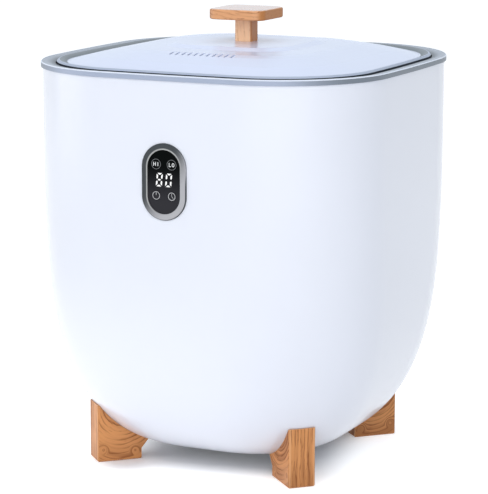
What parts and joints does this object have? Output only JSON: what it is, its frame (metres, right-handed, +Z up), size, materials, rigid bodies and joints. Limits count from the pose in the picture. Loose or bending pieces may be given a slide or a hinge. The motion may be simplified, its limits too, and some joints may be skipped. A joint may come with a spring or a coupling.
{
  "type": "towel warmer",
  "caption": "Rounded-square towel warmer bucket with a lift-off stepped lid, wooden feet and knob, and an upright front control panel.",
  "frame": {"origin": "centre of the four feet, on the surface the bucket stands on", "axes": "+Z up, front with the control panel towards -Y, +X to the right seen from the front"},
  "size_m": [0.3, 0.3, 0.372],
  "materials": {
    "shell_white": "gloss",
    "lid_white": "gloss",
    "trim_grey": "satin",
    "ring_grey": "satin",
    "wood": "oiled",
    "bezel_silver": "satin",
    "lens_black": "gloss",
    "key_black": "gloss",
    "pot_aluminium": "satin",
    "heater_silicone": "matte",
    "insulation_felt": "matte",
    "seal_silicone": "matte",
    "steel": "brushed",
    "board_green": "satin",
    "component_black": "matte",
    "component_green": "matte",
    "inner_white": "satin",
    "gland_black": "matte"
  },
  "bodies": {
    "bucket": {"outer_shell": "shell_white", "rim_trim": "trim_grey", "inner_pot": "pot_aluminium", "pot_gasket": "seal_silicone", "heater_band": "heater_silicone", "insulation_wrap": "insulation_felt", "base_heater": "pot_aluminium", "thermal_cutoff": "component_black", "temperature_sensor": "steel", "sensor_clip": "steel", "foot_front_left": "wood", "foot_front_right": "wood", "foot_back_left": "wood", "foot_back_right": "wood", "foot_screws": "steel", "base_cover": "inner_white", "base_screws": "steel", "power_board": "board_green", "board_screws": "steel", "relay": "component_black", "terminal_block": "component_green", "filter_capacitor": "component_black", "cord_gland": "gland_black", "gland_nut": "gland_black", "panel_bezel": "bezel_silver", "panel_lens": "lens_black", "panel_housing": "component_black", "panel_screws": "steel", "display_board": "board_green", "digit_display": "component_black", "display_screws": "steel", "key_switches": "component_black"},
    "lid": {"lid_cover": "lid_white", "lid_ring": "ring_grey", "lid_seal": "seal_silicone", "lid_inner_plate": "inner_white", "lid_screws": "steel", "knob_stem": "wood", "knob_top": "wood", "knob_screw": "steel", "knob_washer": "steel"},
    "key_hi": {"key_hi": "key_black"},
    "key_lo": {"key_lo": "key_black"},
    "key_power": {"key_power": "key_black"},
    "key_timer": {"key_timer": "key_black"}
  },
  "joints": [
    {"name": "lid_lift", "type": "slide", "parent": "bucket", "child": "lid", "axis": [0, 0, 1], "range_m": [0, 0.12]},
    {"name": "key_hi_press", "type": "slide", "parent": "bucket", "child": "key_hi", "axis": [0, 1, 0], "range_m": [0, 0.0008], "stiffness_N_per_m": 600},
    {"name": "key_lo_press", "type": "slide", "parent": "bucket", "child": "key_lo", "axis": [0, 1, 0], "range_m": [0, 0.0008], "stiffness_N_per_m": 600},
    {"name": "key_power_press", "type": "slide", "parent": "bucket", "child": "key_power", "axis": [0, 1, 0], "range_m": [0, 0.0008], "stiffness_N_per_m": 600},
    {"name": "key_timer_press", "type": "slide", "parent": "bucket", "child": "key_timer", "axis": [0, 1, 0], "range_m": [0, 0.0008], "stiffness_N_per_m": 600}
  ]
}
